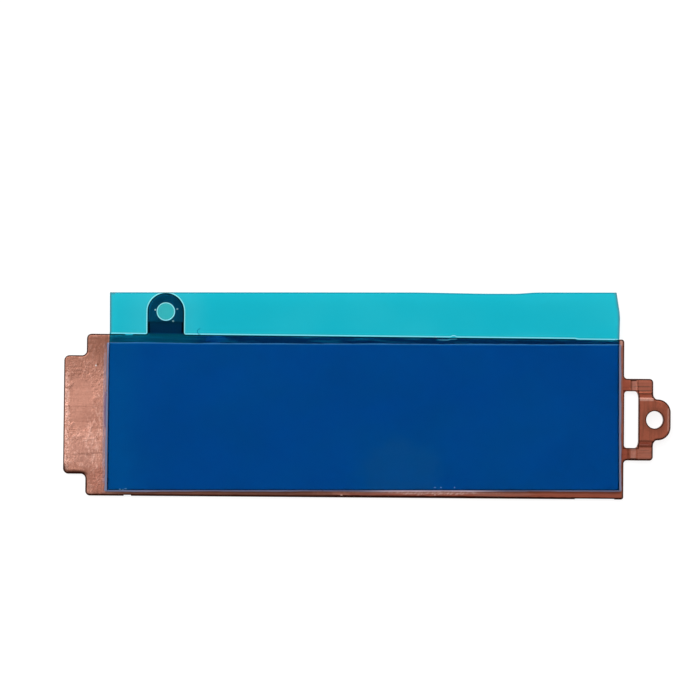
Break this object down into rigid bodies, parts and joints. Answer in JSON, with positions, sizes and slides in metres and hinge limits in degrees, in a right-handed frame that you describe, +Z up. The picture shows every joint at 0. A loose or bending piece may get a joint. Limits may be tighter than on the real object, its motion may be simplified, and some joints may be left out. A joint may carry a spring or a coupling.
{
  "type": "ssd heatsink",
  "caption": "Flat stamped copper heat spreader for a narrow solid-state drive, with stepped screw tabs, a soft thermal pad and the pad's blue see-through release film.",
  "frame": {"origin": "centre of the plate body's back face, not counting the narrow end, the ear and the end bracket", "axes": "+X along the plate from the narrow end to the end bracket, +Y across the plate towards the ear, +Z up from the back face to the pad side"},
  "size_m": [0.0901, 0.0308, 0.0022],
  "materials": {
    "copper": "bare rolled copper with light scratches and tarnish",
    "gap_pad": "matte soft silicone",
    "blue_film": "clear tinted film"
  },
  "bodies": {
    "root": {"heat_spreader": "copper", "thermal_pad": "gap_pad", "release_film": "blue_film"}
  },
  "joints": []
}
